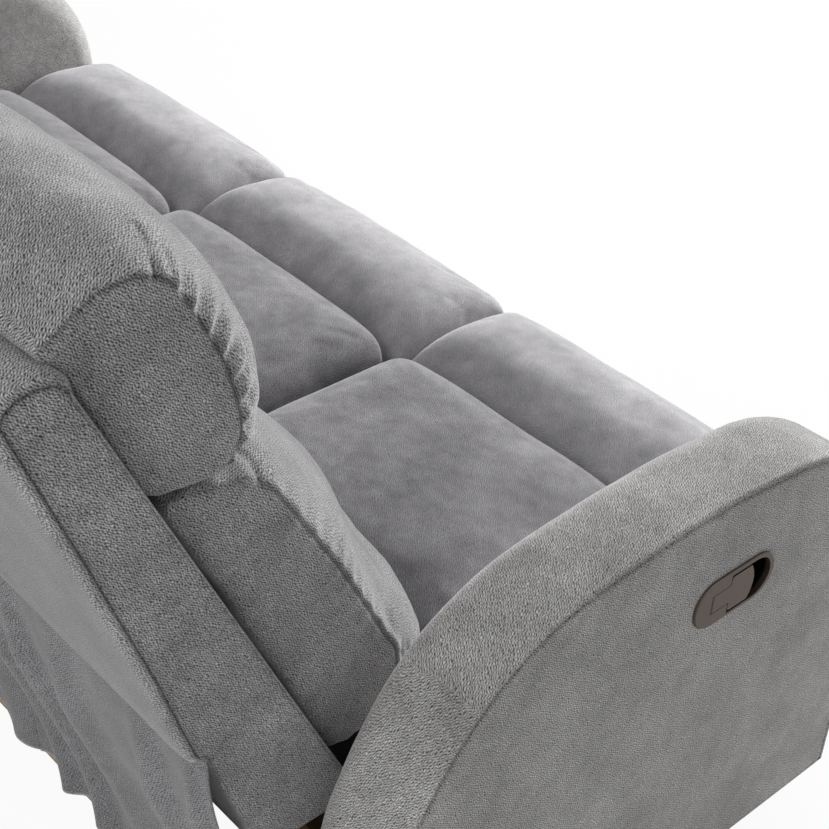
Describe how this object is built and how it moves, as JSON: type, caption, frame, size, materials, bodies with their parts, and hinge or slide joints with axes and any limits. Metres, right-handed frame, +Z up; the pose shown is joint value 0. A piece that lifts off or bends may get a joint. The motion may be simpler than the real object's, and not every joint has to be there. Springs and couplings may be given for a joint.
{
  "type": "reclining sofa",
  "caption": "Three-seat fabric sofa whose end seats recline: lazy-tongs footrests swing out of the front and the backs tilt on side hinges.",
  "frame": {"origin": "on the floor under the middle of the sofa", "axes": "+X to the sitters' left along the sofa, -Y the way the sitters face, +Z up"},
  "size_m": [1.792, 1.0476, 1.047],
  "materials": {
    "upholstery": "soft woven chenille in mid grey",
    "timber": "unfinished softwood and birch plywood",
    "mechanism": "black powder-coated pressed steel",
    "springs": "oiled spring steel wire",
    "latch": "satin dark bronze plating",
    "black_plastic": "matt black moulded plastic"
  },
  "bodies": {
    "sofa": {"right_seat_cushion": "upholstery", "right_front_pad": "upholstery", "right_rear_flap": "upholstery", "left_seat_cushion": "upholstery", "left_front_pad": "upholstery", "left_rear_flap": "upholstery", "middle_seat_cushion": "upholstery", "middle_front_pad": "upholstery", "middle_lumbar_cushion": "upholstery", "middle_head_pillow": "upholstery", "middle_back_casing": "upholstery", "middle_rear_flap": "upholstery", "middle_front_panel": "upholstery", "right_arm_cover": "upholstery", "left_arm_cover": "upholstery", "right_arm_frame": "timber", "right_seat_frame": "timber", "left_arm_frame": "timber", "left_seat_frame": "timber", "base_frame": "timber", "middle_carcass": "timber", "right_side_plates": "mechanism", "left_side_plates": "mechanism", "right_seat_springs": "springs", "left_seat_springs": "springs", "middle_seat_springs": "springs", "right_latch_bezel": "latch", "left_latch_bezel": "latch", "right_release_cable": "black_plastic", "right_front_foot": "black_plastic", "right_rear_foot": "black_plastic", "left_release_cable": "black_plastic", "left_front_foot": "black_plastic", "left_rear_foot": "black_plastic"},
    "right_back": {"right_lumbar_cushion": "upholstery", "right_head_pillow": "upholstery", "right_back_casing": "upholstery", "right_back_ladder": "timber", "right_back_brackets": "mechanism"},
    "right_rear_top": {"right_rear_top_links": "mechanism"},
    "right_rear_low": {"right_rear_low_links": "mechanism"},
    "right_front_top": {"right_front_top_links": "mechanism"},
    "right_front_low": {"right_front_low_links": "mechanism"},
    "right_stay": {"right_footrest_stay": "mechanism"},
    "right_footrest": {"right_footrest_board": "timber", "right_footrest_pad": "upholstery"},
    "right_latch": {"right_latch_pull": "latch"},
    "left_back": {"left_lumbar_cushion": "upholstery", "left_head_pillow": "upholstery", "left_back_casing": "upholstery", "left_back_ladder": "timber", "left_back_brackets": "mechanism"},
    "left_rear_top": {"left_rear_top_links": "mechanism"},
    "left_rear_low": {"left_rear_low_links": "mechanism"},
    "left_front_top": {"left_front_top_links": "mechanism"},
    "left_front_low": {"left_front_low_links": "mechanism"},
    "left_stay": {"left_footrest_stay": "mechanism"},
    "left_footrest": {"left_footrest_board": "timber", "left_footrest_pad": "upholstery"},
    "left_latch": {"left_latch_pull": "latch"}
  },
  "joints": [
    {"name": "right_footrest_extend", "type": "hinge", "parent": "sofa", "child": "right_rear_top", "pos_m": [-0.5075, -0.36975, 0.325], "axis": [-1, 0, 0], "range_deg": [0, 36]},
    {"name": "right_rear_cross", "type": "hinge", "parent": "right_rear_top", "child": "right_rear_low", "pos_m": [-0.5075, -0.3895, 0.23208], "axis": [-1, 0, 0], "range_deg": [-72, 0]},
    {"name": "right_low_cross", "type": "hinge", "parent": "right_rear_top", "child": "right_front_top", "pos_m": [-0.5075, -0.40925, 0.13915], "axis": [-1, 0, 0], "range_deg": [-72, 0]},
    {"name": "right_top_cross", "type": "hinge", "parent": "right_rear_low", "child": "right_front_low", "pos_m": [-0.5075, -0.40925, 0.325], "axis": [-1, 0, 0], "range_deg": [0, 72]},
    {"name": "right_footrest_turn", "type": "hinge", "parent": "right_front_top", "child": "right_footrest", "pos_m": [-0.5075, -0.44876, 0.325], "axis": [-1, 0, 0], "range_deg": [0, 128]},
    {"name": "right_stay_turn", "type": "hinge", "parent": "right_front_low", "child": "right_stay", "pos_m": [-0.5075, -0.44876, 0.13915], "axis": [-1, 0, 0], "range_deg": [-56.6, 0]},
    {"name": "right_back_recline", "type": "hinge", "parent": "sofa", "child": "right_back", "pos_m": [-0.5075, 0.11425, 0.368], "axis": [-1, 0, 0], "range_deg": [0, 30], "deforming": ["right_rear_flap"]},
    {"name": "right_latch_turn", "type": "hinge", "parent": "sofa", "child": "right_latch", "pos_m": [-0.8935, -0.18425, 0.492], "axis": [0, 0, -1], "range_deg": [0, 40], "stiffness_Nm_per_rad": 0.05},
    {"name": "left_footrest_extend", "type": "hinge", "parent": "sofa", "child": "left_rear_top", "pos_m": [0.5075, -0.36975, 0.325], "axis": [-1, 0, 0], "range_deg": [0, 36]},
    {"name": "left_rear_cross", "type": "hinge", "parent": "left_rear_top", "child": "left_rear_low", "pos_m": [0.5075, -0.3895, 0.23208], "axis": [-1, 0, 0], "range_deg": [-72, 0]},
    {"name": "left_low_cross", "type": "hinge", "parent": "left_rear_top", "child": "left_front_top", "pos_m": [0.5075, -0.40925, 0.13915], "axis": [-1, 0, 0], "range_deg": [-72, 0]},
    {"name": "left_top_cross", "type": "hinge", "parent": "left_rear_low", "child": "left_front_low", "pos_m": [0.5075, -0.40925, 0.325], "axis": [-1, 0, 0], "range_deg": [0, 72]},
    {"name": "left_footrest_turn", "type": "hinge", "parent": "left_front_top", "child": "left_footrest", "pos_m": [0.5075, -0.44876, 0.325], "axis": [-1, 0, 0], "range_deg": [0, 128]},
    {"name": "left_stay_turn", "type": "hinge", "parent": "left_front_low", "child": "left_stay", "pos_m": [0.5075, -0.44876, 0.13915], "axis": [-1, 0, 0], "range_deg": [-56.6, 0]},
    {"name": "left_back_recline", "type": "hinge", "parent": "sofa", "child": "left_back", "pos_m": [0.5075, 0.11425, 0.368], "axis": [-1, 0, 0], "range_deg": [0, 30], "deforming": ["left_rear_flap"]},
    {"name": "left_latch_turn", "type": "hinge", "parent": "sofa", "child": "left_latch", "pos_m": [0.8935, -0.18425, 0.492], "axis": [0, 0, 1], "range_deg": [0, 40], "stiffness_Nm_per_rad": 0.05}
  ],
  "couplings": [
    {"joint": "right_rear_cross", "follows": "right_footrest_extend", "ratio": -2},
    {"joint": "right_low_cross", "follows": "right_footrest_extend", "ratio": -2},
    {"joint": "right_top_cross", "follows": "right_footrest_extend", "ratio": 2},
    {"joint": "right_footrest_turn", "follows": "right_footrest_extend", "ratio": 3.5555},
    {"joint": "right_stay_turn", "follows": "right_footrest_extend", "ratio": -1.572},
    {"joint": "left_rear_cross", "follows": "left_footrest_extend", "ratio": -2},
    {"joint": "left_low_cross", "follows": "left_footrest_extend", "ratio": -2},
    {"joint": "left_top_cross", "follows": "left_footrest_extend", "ratio": 2},
    {"joint": "left_footrest_turn", "follows": "left_footrest_extend", "ratio": 3.5555},
    {"joint": "left_stay_turn", "follows": "left_footrest_extend", "ratio": -1.572}
  ]
}
